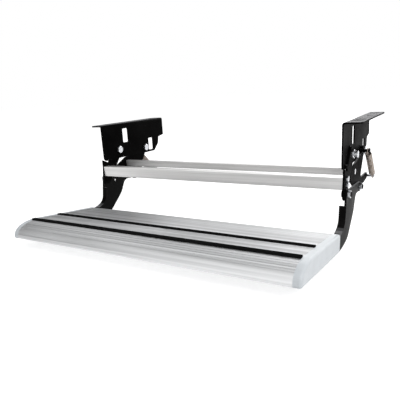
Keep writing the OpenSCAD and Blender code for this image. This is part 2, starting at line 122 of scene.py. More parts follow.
class Hand(Enum):
    """Side of the step, as the sign of X."""

    LEFT = -1.0
    RIGHT = 1.0


class Nodes:
    """A node tree, with short calls to add nodes and to join or set their inputs."""

    def __init__(self, tree: bpy.types.NodeTree) -> None:
        """Takes over a tree and empties it.

        Args:
            tree: The tree.
        """
        self.tree = tree
        self.tree.nodes.clear()

    def add(self, kind: str, **settings: object) -> bpy.types.Node:
        """Adds a node and sets its properties.

        Args:
            kind: Blender's name for the node.
            settings: Properties of the node.

        Returns:
            The new node.
        """
        node = self.tree.nodes.new(kind)
        for key, value in settings.items():
            setattr(node, key, value)
        return node

    def give(self, end: Socket, value: object) -> None:
        """Joins an output to an input, or sets the input to a plain value.

        Args:
            end: The input.
            value: An output, a colour or another value.
        """
        if isinstance(value, Socket):
            self.tree.links.new(value, end)
        else:
            end.default_value = (*value, 1.0) if end.type == "RGBA" else value

    def feed(self, node: bpy.types.Node, *values: object) -> bpy.types.Node:
        """Gives a node its first inputs in order.

        Args:
            node: The node.
            values: Outputs or plain values.

        Returns:
            The node.
        """
        for end, value in zip(node.inputs, values):
            self.give(end, value)
        return node

    def fill(self, node: bpy.types.Node, **inputs: object) -> bpy.types.Node:
        """Gives a node inputs by name.

        Args:
            node: The node.
            inputs: Outputs or plain values, with underscores for spaces in the names.

        Returns:
            The node.
        """
        for key, value in inputs.items():
            self.give(node.inputs[key.replace("_", " ")], value)
        return node

    def make(self, kind: str, **inputs: object) -> bpy.types.Node:
        """Adds a node, gives it inputs by name and returns it."""
        return self.fill(self.add(kind), **inputs)

    def math(self, operation: str, *values: object) -> Socket:
        """Works out one value from others and returns the result."""
        return self.feed(self.add("ShaderNodeMath", operation=operation), *values).outputs[0]


@dataclass(frozen=True)
class Grain:
    """Fine bump of a surface.

    The scale is in cycles per metre, the strength is the share that shows, and the height
    is in metres.
    """

    scale: float
    strength: float
    height: float
    detail: float = 2.0
    seed: float = 0.0


class Shader(Nodes):
    """A material with a Principled surface, patterned in the piece's own coordinates."""

    SEED_STEPS = (1.0, 1.7, 2.3)
    EDGE_SAMPLES = 4
    EDGE_BENDS = (0.82, 0.97)

    def __init__(self, name: str) -> None:
        """Starts a plain material.

        Args:
            name: The material's name.
        """
        self.material = bpy.data.materials.new(name)
        self.material.use_nodes = True
        super().__init__(self.material.node_tree)
        self.surface = self.add("ShaderNodeBsdfPrincipled")
        self.feed(self.add("ShaderNodeOutputMaterial"), self.surface.outputs[0])
        self.place = self.add("ShaderNodeTexCoord").outputs["Object"]

    def paint(self, **inputs: object) -> None:
        """Gives the surface inputs by name, with underscores for spaces."""
        self.fill(self.surface, **inputs)

    def noise(self, scale: Triple, detail: float, seed: float = 0.0) -> Socket:
        """Adds noise in the piece's own coordinates.

        Args:
            scale: Cycles per metre along X, Y and Z.
            detail: Octaves of the noise.
            seed: Shift that makes two noises differ.

        Returns:
            The noise value, from 0 to 1.
        """
        shift = tuple(seed * step for step in self.SEED_STEPS)
        mapping = self.make("ShaderNodeMapping", Vector=self.place, Location=shift, Scale=scale)
        noise = self.make("ShaderNodeTexNoise", Vector=mapping.outputs[0], Scale=1.0, Detail=detail)
        return noise.outputs["Fac"]

    def spread(self, value: Socket, low: float, high: float, start: float = 0.3, stop: float = 0.7) -> Socket:
        """Maps a value from start and stop onto low and high.

        Args:
            value: The value to map.
            low: Result at start.
            high: Result at stop.
            start: Value that gives low.
            stop: Value that gives high.

        Returns:
            The mapped value.
        """
        node = self.make("ShaderNodeMapRange", Value=value, From_Min=start, From_Max=stop,
                         To_Min=low, To_Max=high)
        return node.outputs["Result"]

    def mix(self, share: Socket, ground: Socket | Colour, colour: Colour) -> Socket:
        """Lays a colour over another.

        Args:
            share: Share of the new colour.
            ground: The colour below.
            colour: The new colour.

        Returns:
            The mixed colour.
        """
        node = self.add("ShaderNodeMix", data_type="RGBA")
        return self.fill(node, Factor=share, A=ground, B=colour).outputs["Result"]

    def edge_mask(self, radius: float) -> Socket:
        """Finds edges by the bend of a softened normal.

        Args:
            radius: Reach of the softening, in metres.

        Returns:
            A value that rises on edges, from 0 to 1.
        """
        soft = self.fill(self.add("ShaderNodeBevel", samples=self.EDGE_SAMPLES), Radius=radius)
        true = self.add("ShaderNodeNewGeometry").outputs["True Normal"]
        dot = self.feed(self.add("ShaderNodeVectorMath", operation="DOT_PRODUCT"), soft.outputs[0], true)
        return self.spread(dot.outputs["Value"], 1.0, 0.0, *self.EDGE_BENDS)

    def facing_up(self, start: float) -> Socket:
        """Finds faces that look up, which the coat paints lighter as a highlight.

        Args:
            start: Upward share of the normal where the value leaves 0.

        Returns:
            A value that is 1 on level faces.
        """
        normal = self.add("ShaderNodeNewGeometry").outputs["Normal"]
        split = self.make("ShaderNodeSeparateXYZ", Vector=normal)
        return self.spread(split.outputs["Z"], 0.0, 1.0, start, 1.0)

    def bump(self, height: Socket, strength: float, distance: float) -> None:
        """Gives the surface a bump.

        Args:
            height: Height of the bump, from 0 to 1.
            strength: Share of the bump that shows.
            distance: Height at 1, in metres.
        """
        node = self.make("ShaderNodeBump", Height=height, Strength=strength, Distance=distance)
        self.paint(Normal=node.outputs[0])

    def grain(self, grain: Grain) -> None:
        """Gives the surface an even grain."""
        pattern = self.noise((grain.scale,) * 3, grain.detail, grain.seed)
        self.bump(pattern, grain.strength, grain.height)


@dataclass(frozen=True)
class PowderCoat:
    """Satin black powder coat: fine orange peel, faint dust, rubbed edges that are also a painted edge
    highlight, and top faces painted lighter as a highlight.
    """

    name: str = "black_powder_coat"
    deep: Colour = (0.0012, 0.0011, 0.0011)
    dusty: Colour = (0.0035, 0.0033, 0.0033)
    # Edge colour: rubbed wear, and also a painted edge highlight.
    rubbed_and_highlight: Colour = (0.045, 0.045, 0.046)
    # Lighter grey of faces that look up: a painted highlight on the tops.
    top_highlight: Colour = (0.17, 0.17, 0.175)
    gloss: Span = (0.38, 0.52)
    ior: float = 1.46
    shine: float = 0.005
    cloud_scale: Triple = (22.0, 22.0, 22.0)
    cloud_detail: float = 5.0
    scuff_scale: Triple = (160.0, 160.0, 160.0)
    scuff_detail: float = 3.0
    scuff_seed: float = 4.1
    scuff_share: float = 0.8
    edge_reach: float = 0.0007
    level_from: float = 0.9
    peel: Grain = Grain(900.0, 0.35, 0.00006, seed=1.3)

    def material(self) -> bpy.types.Material:
        """Builds the node material.

        Returns:
            The material.
        """
        shader = Shader(self.name)
        cloud = shader.noise(self.cloud_scale, self.cloud_detail)
        ground = shader.mix(shader.spread(cloud, 0.0, 1.0), self.deep, self.dusty)
        rubs = shader.noise(self.scuff_scale, self.scuff_detail, self.scuff_seed)
        # Lighter edges in patches: real rubbed wear, and also a painted edge highlight that keeps the black
        # edges visible.
        scuff_and_highlight = shader.math("MULTIPLY", shader.edge_mask(self.edge_reach),
                            shader.spread(rubs, 0.0, self.scuff_share))
        worn_and_highlit = shader.mix(scuff_and_highlight, ground, self.rubbed_and_highlight)
        # Faces that look up get a lighter grey: a painted highlight on the top faces.
        shader.paint(Metallic=0.0, IOR=self.ior, Specular_IOR_Level=self.shine,
                     Base_Color=shader.mix(shader.facing_up(self.level_from), worn_and_highlit, self.top_highlight),
                     Roughness=shader.spread(cloud, *self.gloss))
        shader.grain(self.peel)
        return shader.material


@dataclass(frozen=True)
class BrushedMetal:
    """Metal with fine lines and broader streaks along X."""

    name: str
    dark: Colour
    light: Colour
    gloss: Span
    line_scale: Triple
    line_height: float
    line_detail: float = 4.0
    line_strength: float = 0.5
    stretched_shine: float = 0.35
    cloud_scale: Triple = (4.5, 9.0, 9.0)
    cloud_detail: float = 4.0
    cloud_seed: float = 2.7
    streak_scale: Triple = (1.5, 120.0, 120.0)
    streak_detail: float = 2.0
    streak_seed: float = 7.9
    streak_range: Span = (0.35, 0.65)
    streak_depth: float = 0.5

    def material(self) -> bpy.types.Material:
        """Builds the node material.

        Returns:
            The material.
        """
        shader = Shader(self.name)
        lines = shader.noise(self.line_scale, self.line_detail)
        cloud = shader.noise(self.cloud_scale, self.cloud_detail, self.cloud_seed)
        streak = shader.noise(self.streak_scale, self.streak_detail, self.streak_seed)
        both = shader.math("MULTIPLY_ADD", lines, 1.0 - self.streak_depth,
                           shader.spread(streak, 0.0, self.streak_depth, *self.streak_range))
        shader.paint(Metallic=1.0, Anisotropic=self.stretched_shine,
                     Base_Color=shader.mix(both, self.dark, self.light),
                     Roughness=shader.spread(cloud, *self.gloss))
        shader.bump(lines, self.line_strength, self.line_height)
        return shader.material


@dataclass(frozen=True)
class PatchyFinish:
    """A finish of two colours in soft patches, over a fine grain.

    The gloss is the roughness in dark patches, then in light ones.
    """

    name: str
    dark: Colour
    light: Colour
    gloss: Span
    patches: Triple
    grain: Grain
    detail: float = 5.0
    metallic: float = 0.0
    ior: float = 1.5
    shine: float = 0.5

    def material(self) -> bpy.types.Material:
        """Builds the node material.

        Returns:
            The material.
        """
        shader = Shader(self.name)
        patch = shader.noise(self.patches, self.detail)
        shader.paint(Metallic=self.metallic, IOR=self.ior, Specular_IOR_Level=self.shine,
                     Base_Color=shader.mix(shader.spread(patch, 0.0, 1.0), self.dark, self.light),
                     Roughness=shader.spread(patch, *self.gloss))
        shader.grain(self.grain)
        return shader.material


@dataclass(frozen=True)
class ZincPlate(PatchyFinish):
    """Bright zinc plating on fasteners: spangled, slightly uneven, duller in places."""

    name: str = "zinc_plate"
    dark: Colour = (0.42, 0.43, 0.45)
    light: Colour = (0.74, 0.75, 0.77)
    gloss: Span = (0.36, 0.18)
    patches: Triple = (240.0, 240.0, 240.0)
    grain: Grain = Grain(1500.0, 0.3, 0.00004, seed=3.3)
    detail: float = 4.0
    metallic: float = 1.0


@dataclass(frozen=True)
class MouldedPlastic(PatchyFinish):
    """Pale moulded plastic of the end caps, with a fine eroded grain."""

    name: str = "cap_moulded_plastic"
    dark: Colour = (0.50, 0.53, 0.555)
    light: Colour = (0.60, 0.63, 0.655)
    gloss: Span = (0.34, 0.46)
    patches: Triple = (30.0, 30.0, 30.0)
    grain: Grain = Grain(1300.0, 0.3, 0.00005, detail=3.0, seed=5.2)
    ior: float = 1.49


@dataclass(frozen=True)
class GripRubber(PatchyFinish):
    """Matt black grip rubber with a little dust along its length."""

    name: str = "grip_rubber"
    dark: Colour = (0.003, 0.003, 0.003)
    light: Colour = (0.008, 0.008, 0.008)
    gloss: Span = (0.72, 0.90)
    patches: Triple = (14.0, 120.0, 120.0)
    grain: Grain = Grain(1800.0, 0.4, 0.00005, seed=1.9)
    shine: float = 0.03


@dataclass(frozen=True)
class SpringWire(PatchyFinish):
    """Oiled spring wire, brownish grey with slight tarnish."""

    name: str = "spring_wire"
    dark: Colour = (0.15, 0.115, 0.09)
    light: Colour = (0.40, 0.36, 0.33)
    gloss: Span = (0.30, 0.48)
    patches: Triple = (190.0, 190.0, 190.0)
    grain: Grain = Grain(2200.0, 0.3, 0.00003, seed=6.1)
    metallic: float = 1.0


ANODISED = BrushedMetal(
    "anodised_tread", dark=(0.40, 0.405, 0.41), light=(0.80, 0.805, 0.815), gloss=(0.54, 0.42),
    line_scale=(3.0, 520.0, 520.0), line_height=0.00005)
BRIGHT = BrushedMetal(
    "bright_bar", dark=(0.50, 0.495, 0.49), light=(0.82, 0.815, 0.81), gloss=(0.52, 0.38),
    line_scale=(3.0, 700.0, 700.0), line_height=0.00003)
ARM_COAT = PowderCoat("arm_powder_coat", shine=0.035)


@dataclass
class Finishes:
    """Every material of the step, made once."""

    coat: bpy.types.Material = field(default_factory=PowderCoat().material)
    arm_coat: bpy.types.Material = field(default_factory=ARM_COAT.material)
    tread: bpy.types.Material = field(default_factory=ANODISED.material)
    bar: bpy.types.Material = field(default_factory=BRIGHT.material)
    zinc: bpy.types.Material = field(default_factory=ZincPlate().material)
    cap: bpy.types.Material = field(default_factory=MouldedPlastic().material)
    rubber: bpy.types.Material = field(default_factory=GripRubber().material)
    spring: bpy.types.Material = field(default_factory=SpringWire().material)


class PieceTree(Nodes):
    """A Geometry Nodes tree with named inputs that ends in one realized, finished mesh."""

    def __init__(self, name: str) -> None:
        """Starts a tree with a geometry input and output.

        Args:
            name: The tree's name.
        """
        super().__init__(bpy.data.node_groups.new(name, "GeometryNodeTree"))
        for way in ("INPUT", "OUTPUT"):
            self.tree.interface.new_socket("Geometry", in_out=way, socket_type="NodeSocketGeometry")
        self.entry = self.add("NodeGroupInput")
        self.exit = self.add("NodeGroupOutput")

    def ask(self, name: str, kind: str = "NodeSocketFloat") -> None:
        """Adds a named input."""
        self.tree.interface.new_socket(name, in_out="INPUT", socket_type=kind)

    def given(self, name: str) -> Socket:
        """The input of that name, as a value to join."""
        return self.entry.outputs[name]

    def close(self, geometry: Socket) -> None:
        """Ends the tree in Realize Instances and Set Material.

        Args:
            geometry: The finished geometry.
        """
        real = self.make("GeometryNodeRealizeInstances", Geometry=geometry).outputs[0]
        dress = self.make("GeometryNodeSetMaterial", Geometry=real, Material=self.given("Finish"))
        self.feed(self.exit, dress.outputs[0])

    def run(self, base: bpy.types.Mesh, name: str, **inputs: object) -> bpy.types.Object:
        """Runs the tree on a mesh and keeps the result as a plain mesh object.

        Args:
            base: The mesh that the tree starts from.
            name: Name of the finished piece.
            inputs: Values of the tree's inputs, with underscores for spaces.

        Returns:
            The finished piece, at the origin.
        """
        carrier = bpy.data.objects.new(name + "_path", base)
        bpy.context.scene.collection.objects.link(carrier)
        modifier = carrier.modifiers.new("shape", "NODES")
        modifier.node_group = self.tree
        for item in self.tree.interface.items_tree:
            key = item.name.replace(" ", "_")
            if item.in_out == "INPUT" and key in inputs:
                modifier[item.identifier] = inputs[key]
        view = bpy.context.evaluated_depsgraph_get()
        mesh = bpy.data.meshes.new_from_object(carrier.evaluated_get(view))
        carrier.modifiers.clear()
        bpy.data.objects.remove(carrier)
        mesh.name = name
        piece = bpy.data.objects.new(name, mesh)
        bpy.context.scene.collection.objects.link(piece)
        return piece


@functools.cache
def wire_tree() -> PieceTree:
    """Builds the tree that sweeps a round wire along a path.

    Returns:
        The tree, with inputs Wire Radius, Wire Sides and Finish.
    """
    tree = PieceTree("wire_along_path")
    tree.ask("Wire Radius")
    tree.ask("Wire Sides", "NodeSocketInt")
    tree.ask("Finish", "NodeSocketMaterial")
    line = tree.make("GeometryNodeMeshToCurve", Mesh=tree.given("Geometry"))
    ring = tree.make("GeometryNodeCurvePrimitiveCircle", Resolution=tree.given("Wire Sides"),
                     Radius=tree.given("Wire Radius"))
    sweep = tree.make("GeometryNodeCurveToMesh", Curve=line.outputs[0], Profile_Curve=ring.outputs[0],
                      Fill_Caps=True)
    smooth = tree.make("GeometryNodeSetShadeSmooth", Geometry=sweep.outputs[0])
    tree.close(smooth.outputs[0])
    return tree


@functools.cache
def fastener_tree() -> PieceTree:
    """Builds the tree that puts one fastener on every point, turned as the point says.

    Returns:
        The tree, with inputs Fastener and Finish.
    """
    tree = PieceTree("fasteners_on_points")
    tree.ask("Fastener", "NodeSocketObject")
    tree.ask("Finish", "NodeSocketMaterial")
    points = tree.make("GeometryNodeMeshToPoints", Mesh=tree.given("Geometry"))
    facing = tree.add("GeometryNodeInputNamedAttribute", data_type="FLOAT_VECTOR")
    tree.fill(facing, Name="facing")
    turn = tree.add("FunctionNodeAlignRotationToVector", axis="Z")
    tree.fill(turn, Vector=facing.outputs["Attribute"])
    shape = tree.make("GeometryNodeObjectInfo", Object=tree.given("Fastener"))
    place = tree.make("GeometryNodeInstanceOnPoints", Points=points.outputs[0],
                      Instance=shape.outputs["Geometry"], Rotation=turn.outputs[0])
    tree.close(place.outputs[0])
    return tree


@functools.cache
def section_tree() -> PieceTree:
    """Builds the tree that stretches a flat section along X and closes both ends.

    Returns:
        The tree, with inputs Length and Finish.
    """
    tree = PieceTree("section_along_length")
    tree.ask("Length")
    tree.ask("Finish", "NodeSocketMaterial")
    section = tree.given("Geometry")
    reach = tree.make("ShaderNodeCombineXYZ", X=tree.given("Length"))
    walls = tree.make("GeometryNodeExtrudeMesh", Mesh=section, Offset=reach.outputs[0], Individual=False)
    back = tree.make("GeometryNodeFlipFaces", Mesh=section)
    both = tree.make("GeometryNodeJoinGeometry", Geometry=walls.outputs["Mesh"])
    tree.fill(both, Geometry=back.outputs[0])
    seam = tree.make("GeometryNodeMergeByDistance", Geometry=both.outputs[0], Distance=WELD)
    tree.close(seam.outputs[0])
    return tree


def point_mesh(name: str, places: Sequence[Vector], closed: bool = False,
               line: bool = False) -> bpy.types.Mesh:
    """Makes a mesh of points, a line or one flat face.

    Args:
        name: Name of the mesh.
        places: Points, in metres.
        closed: Fill the points as one face.
        line: Join the points in order.

    Returns:
        The mesh.
    """
    mesh = bpy.data.meshes.new(name)
    edges = [(i, i + 1) for i in range(len(places) - 1)] if line else []
    faces = [tuple(range(len(places)))] if closed else []
    mesh.from_pydata([tuple(p) for p in places], edges, faces)
    mesh.update()
    return mesh


def settle(piece: bpy.types.Object, body: Body, stands_for: str) -> None:
    """Lets a new piece ride a body in the place of a CAD node, and reports it.

    Args:
        piece: The piece.
        body: The body that carries it.
        stands_for: The node that it replaces.
    """
    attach(piece, body.value)
    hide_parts(stands_for)
    LOG.info("%s: %d faces", piece.name, len(piece.data.polygons))


def at(x: float, place: Side) -> Vector:
    """A point in metres from X and a side-view place in millimetres."""
    return Vector((x, place[0], place[1])) * MM


def shifted(place: Side, step: Side) -> Side:
    """The place that lies a step away from another."""
    return place[0] + step[0], place[1] + step[1]


@dataclass(frozen=True)
class Layout:
    """Places shared by the sub-assemblies, as in the part's source.

    Places and steps are [y, z] in the side view. The plates, nuts and springs have their
    distance along X from the middle. Swing and tilt are in degrees, all else in millimetres.
    """

    front_y: float = -128.5
    front_pivot: Side = (-71.5, -65.0)
    pivot_step: Side = (109.0, -9.0)
    link: Side = (-50.0, -67.0)
    swing: float = 90.0
    stud_reach: Side = (48.0, -63.0)
    anchor_reach: float = 19.4
    front_bar: Side = (-120.5, -111.5)
    bolts_from_bar: tuple[Side, Side] = ((5.0, 7.0), (5.0, -5.0))
    plate_in: float = 286.5
    link_out: float = 294.0
    nut_in: float = 294.2
    arm_out: float = 298.5
    spring_x: float = 306.7
    tread_half: float = 286.5
    tread_tilt: float = 6.7
    tread_back: float = 250.0
    tread_drop: float = 230.0
    tread_top: float = 34.0

    @property
    def rear_pivot(self) -> Side:
        """Where the rear lever turns on the bracket."""
        return shifted(self.front_pivot, self.pivot_step)

    @property
    def lower_front(self) -> Side:
        """Where the arm turns on the front link."""
        return shifted(self.front_pivot, self.link)

    @property
    def lower_rear(self) -> Side:
        """Where the arm turns on the rear lever."""
        return shifted(self.rear_pivot, self.link)

    @property
    def bar_bolts(self) -> list[Side]:
        """The two bolts that hold each end of the front crossbar."""
        return [shifted(self.front_bar, step) for step in self.bolts_from_bar]

    @property
    def lever_stud(self) -> Side:
        """The spring's stud on the rear lever."""
        return shifted(self.rear_pivot, self.stud_reach)

    @property
    def anchor(self) -> Side:
        """The spring's anchor, on the line that halves the swing of the lever's stud."""
        y, z = self.stud_reach
        mid = math.atan2(z, y) + math.radians(self.swing / 2.0)
        back = (-self.anchor_reach * math.cos(mid), -self.anchor_reach * math.sin(mid))
        return shifted(self.rear_pivot, back)

    def tread_point(self, y: float, z: float) -> Side:
        """A point of the tread's own section, in the side view.

        Args:
            y: Distance back from the nose.
            z: Height above the tread's underside.

        Returns:
            The place as [y, z].
        """
        c, s = math.cos(math.radians(self.tread_tilt)), math.sin(math.radians(self.tread_tilt))
        back, up = y - self.tread_back, z - self.tread_drop
        return self.front_y + back * c + up * s, up * c - back * s


PLAN = Layout()


class Fastener:
    """A turned or hexagonal fastener, drawn as rings up its own axis.

    A hexagon's end is turned off by a cone that meets it in a circle. CONE is the radius
    of that circle as a share of the width across flats.
    """

    ROUND = 48
    CHAMFER = math.tan(math.radians(30.0))
    CONE = 0.48
    CREASE = math.radians(25.0)
    BORE_CHAMFER = 0.6
    NUT_FOOT = 0.4

    def __init__(self, name: str) -> None:
        """Starts an empty fastener.

        Args:
            name: Name of its mesh.
        """
        self.name = name
        self.rings: list[list[Vector]] = []

    def round(self, radius: float, height: float) -> Fastener:
        """Adds a circle.

        Args:
            radius: Radius of the ring.
            height: Height of the ring.

        Returns:
            The fastener.
        """
        turns = [2.0 * math.pi * i / self.ROUND for i in range(self.ROUND)]
        self.rings.append([Vector((radius * math.cos(a), radius * math.sin(a), height)) * MM for a in turns])
        return self

    def face(self, flats: float, height: float) -> Fastener:
        """Adds the circle where the cone meets a hexagon's end and returns the fastener."""
        return self.round(self.CONE * flats, height)

    def mouth(self, bore: float, height: float) -> Fastener:
        """Adds the chamfered end of a bore and returns the fastener."""
        return self.round(bore + self.BORE_CHAMFER, height).round(bore, height - self.BORE_CHAMFER)

    def hexagon(self, flats: float, height: float, chamfered: bool = False) -> Fastener:
        """Adds a hexagon with a corner on the X axis.

        Args:
            flats: Width across flats.
            height: Height of the ring.
            chamfered: Drop the corners to where the cone cuts them.

        Returns:
            The fastener.
        """
        sixth, ring = math.pi / 3.0, []
        for i in range(self.ROUND):
            a = 2.0 * math.pi * i / self.ROUND
            from_corner = abs((a + sixth / 2.0) % sixth - sixth / 2.0)
            radius = flats / 2.0 / math.cos(sixth / 2.0 - from_corner)
            drop = max(0.0, radius - self.CONE * flats) * self.CHAMFER if chamfered else 0.0
            ring.append(Vector((radius * math.cos(a), radius * math.sin(a), height - drop)) * MM)
        self.rings.append(ring)
        return self

    def mesh(self, tube: bool = False) -> bpy.types.Mesh:
        """Joins the rings into one closed skin.

        Args:
            tube: Join the last ring to the first, as round a bore.

        Returns:
            The mesh, smooth on rounds and sharp along edges.
        """
        shape = bmesh.new()
        rows = [[shape.verts.new(p) for p in ring] for ring in self.rings]
        pairs = list(zip(rows, rows[1:])) + ([(rows[-1], rows[0])] if tube else [])
        for low, high in pairs:
            for i in range(self.ROUND):
                k = (i + 1) % self.ROUND
                shape.faces.new((low[i], low[k], high[k], high[i]))
        if not tube:
            shape.faces.new(list(reversed(rows[0])))
            shape.faces.new(rows[-1])
        bmesh.ops.recalc_face_normals(shape, faces=shape.faces)
        for face in shape.faces:
            face.smooth = True
        for edge in shape.edges:
            edge.smooth = edge.calc_face_angle(0.0) < self.CREASE
        mesh = bpy.data.meshes.new(self.name)
        shape.to_mesh(mesh)
        shape.free()
        return mesh

    @classmethod
    def nut(cls, name: str, flats: float, height: float, bore: float) -> bpy.types.Mesh:
        """Makes a hexagon nut.

        Args:
            name: Name of its mesh.
            flats: Width across flats.
            height: Height of the nut.
            bore: Radius of its bore.

        Returns:
            The mesh.
        """
        part = cls(name).round(bore, 0.0).face(flats, 0.0).hexagon(flats, cls.NUT_FOOT)
        return part.hexagon(flats, height, True).face(flats, height).mouth(bore, height).mesh(True)


@dataclass
class FastenerSet:
    """One fastener at the same places on both sides of the step, standing for a CAD node.

    The fastener's foot lies at distance x from the middle, and way is 1 where it points
    outwards and -1 where it points to the middle.
    """

    name: str
    mesh: bpy.types.Mesh
    x: float
    spots: Sequence[Side]
    body: Body
    stands_for: str
    way: float = 1.0

    def build(self, finish: bpy.types.Material) -> None:
        """Puts the fasteners in place as one piece.

        Args:
            finish: The fasteners' material.
        """
        both = [(hand.value, spot) for hand in Hand for spot in self.spots]
        points = point_mesh(self.name + "_places", [at(sign * self.x, spot) for sign, spot in both])
        facing = points.attributes.new("facing", "FLOAT_VECTOR", "POINT")
        facing.data.foreach_set("vector", [c for sign, _ in both for c in (sign * self.way, 0.0, 0.0)])
        pattern = bpy.data.objects.new(self.name + "_pattern", self.mesh)
        bpy.context.scene.collection.objects.link(pattern)
        piece = fastener_tree().run(points, self.name, Fastener=pattern, Finish=finish)
        bpy.data.objects.remove(pattern)
        settle(piece, self.body, self.stands_for)


@dataclass
class Dresser:
    """Gives CAD nodes their finish and soft edges, without changing their shape data.

    Faces that meet within flat_angle count as one, and edges sharper than edge_angle are
    rounded, both in degrees.
    """

    nodes: dict[str, bpy.types.Object]
    flat_angle: float = 0.4
    edge_angle: float = 35.0

    def dress(self, names: Sequence[str], finish: bpy.types.Material, edge: float, steps: int = 2) -> None:
        """Sets a finish and rounds the edges of some nodes.

        Args:
            names: The nodes.
            finish: Their material.
            edge: Width of the edge rounding, in millimetres.
            steps: Segments of the rounding.
        """
        for name in names:
            node = self.nodes[name]
            node.data.materials.clear()
            node.data.materials.append(finish)
            weld = node.modifiers.new("weld", "WELD")
            weld.merge_threshold = WELD
            plane = node.modifiers.new("plane", "DECIMATE")
            plane.decimate_type = "DISSOLVE"
            plane.angle_limit = math.radians(self.flat_angle)
            soft = node.modifiers.new("edge", "BEVEL")
            soft.width = edge * MM
            soft.segments = steps
            soft.limit_method = "ANGLE"
            soft.angle_limit = math.radians(self.edge_angle)
            soft.harden_normals = True
            LOG.info("%s: %s", name, finish.name)


@dataclass
class Brackets:
    """Mounting brackets with their pivot bolts, nuts, stops and spring anchors."""

    plate_edge: float = 0.5
    pin_edge: float = 0.4
    flats: float = 16.0
    head: float = 6.4
    groove: Span = (5.9, 5.7)
    groove_depth: float = 1.2
    dome: Triple = (5.0, 4.6, 3.9)
    dome_drop: float = 0.2
    shaft_r: float = 4.98
    shaft_tip: float = 0.6
    bore_r: float = 5.02
    thin_nut: float = 5.0
    barrel: float = 11.0
    barrel_r: float = 6.75
    barrel_hex: float = 4.0
    barrel_round: float = 0.7

    def bolt(self, name: str, shaft: float) -> bpy.types.Mesh:
        """A pivot bolt with a turned groove round the middle of its head.

        Args:
            name: Name of the mesh.
            shaft: Length under the head.

        Returns:
            The mesh.
        """
        top, floor = self.head, self.head - self.groove_depth
        part = Fastener(name).round(self.shaft_r - self.shaft_tip, -shaft)
        part.round(self.shaft_r, self.shaft_tip - shaft).round(self.shaft_r, 0.0)
        part.hexagon(self.flats, 0.0).hexagon(self.flats, top, True).face(self.flats, top)
        part.round(self.groove[0], top).round(self.groove[1], floor).round(self.dome[0], floor)
        return part.round(self.dome[1], top - self.dome_drop).round(self.dome[2], top).mesh()

    def sleeve(self) -> bpy.types.Mesh:
        """The long round nut of the front pivots.

        Returns:
            The mesh.
        """
        part = Fastener("sleeve_nut").round(self.bore_r, 0.0).hexagon(self.flats, 0.0)
        part.hexagon(self.flats, self.barrel_hex, True).face(self.flats, self.barrel_hex)
        part.round(self.barrel_r, self.barrel_hex).round(self.barrel_r, self.barrel - self.barrel_round)
        part.round(self.barrel_r - self.barrel_round, self.barrel)
        return part.mouth(self.bore_r, self.barrel).mesh(True)

    def build(self, dresser: Dresser, finishes: Finishes) -> None:
        """Dresses the brackets and makes their fasteners.

        Args:
            dresser: Gives CAD nodes their finish.
            finishes: The step's materials.
        """
        dresser.dress(("left_bracket", "right_bracket"), finishes.coat, self.plate_edge)
        dresser.dress(("stop_pins", "spring_anchor_studs"), finishes.coat, self.pin_edge)
        grip = PLAN.nut_in - PLAN.plate_in
        long_bolt = self.bolt("long_bolt", grip + self.barrel)
        short_bolt = self.bolt("short_bolt", grip + self.thin_nut)
        thin_nut = Fastener.nut("thin_nut", self.flats, self.thin_nut, self.bore_r)
        front, rear = [PLAN.front_pivot], [PLAN.rear_pivot]
        rows = (
            ("front_pivot_bolt_set", long_bolt, PLAN.plate_in, front, "front_pivot_bolts", -1.0),
            ("rear_pivot_bolt_set", short_bolt, PLAN.plate_in, rear, "rear_pivot_bolts", -1.0),
            ("front_sleeve_nuts", self.sleeve(), PLAN.nut_in, front, "front_pivot_nuts", 1.0),
            ("rear_thin_nuts", thin_nut, PLAN.nut_in, rear, "rear_pivot_nuts", 1.0),
        )
        for name, mesh, x, spots, node, way in rows:
            FastenerSet(name, mesh, x, spots, Body.FRAME, node, way).build(finishes.zinc)


@dataclass
class Springs:
    """Two extension springs, each one wire with an eye at either end.

    An eye goes round by eye_turn, in degrees, on either side of its tip.
    """

    wire: float = 2.2
    coil: float = 11.0
    turns: int = 26
    space: float = 0.65
    stud_r: float = 3.5
    eye_gap: float = 0.2
    eye_turn: float = 128.0
    coil_rings: int = 24
    eye_rings: int = 20
    wire_sides: int = 12

    def path(self, hand: Hand) -> list[Vector]:
        """The wire's centre line.

        Args:
            hand: Side of the step.

        Returns:
            Points from eye to eye, in metres.
        """
        start, end = Vector(PLAN.anchor), Vector(PLAN.lever_stud)
        along = (end - start).normalized()
        across = Vector((-along.y, along.x))
        span = (end - start).length
        length = (self.wire + self.space) * self.turns
        hook = (span - length) / 2.0
        eye = self.stud_r + self.wire / 2.0 + self.eye_gap

        def place(run: float, aside: float, out: float) -> Vector:
            """A point along, beside and out from the spring's line."""
            spot = start + along * run + across * aside
            return at(hand.value * (PLAN.spring_x + out), (spot.x, spot.y))

        points = []
        for i in range(self.eye_rings + 1):
            a = math.radians(180.0 - self.eye_turn + 2.0 * self.eye_turn * i / self.eye_rings)
            points.append(place(eye * math.cos(a), eye * math.sin(a), 0.0))
        count = self.turns * self.coil_rings
        for i in range(count + 1):
            a = math.pi + 2.0 * math.pi * i / self.coil_rings
            aside, out = self.coil / 2.0 * math.cos(a), self.coil / 2.0 * math.sin(a)
            points.append(place(hook + length * i / count, aside, out))
        for i in range(self.eye_rings + 1):
            a = math.radians(2.0 * self.eye_turn * i / self.eye_rings - self.eye_turn)
            points.append(place(span + eye * math.cos(a), eye * math.sin(a), 0.0))
        return points

    def build(self, finishes: Finishes) -> None:
        """Winds both springs.

        Args:
            finishes: The step's materials.
        """
        for hand in Hand:
            name = hand.name.lower() + "_spring"
            line = point_mesh(name + "_line", self.path(hand), line=True)
            piece = wire_tree().run(line, name + "_wire", Wire_Radius=self.wire / 2.0 * MM,
                                    Wire_Sides=self.wire_sides, Finish=finishes.spring)
            settle(piece, Body.SPRINGS, name)


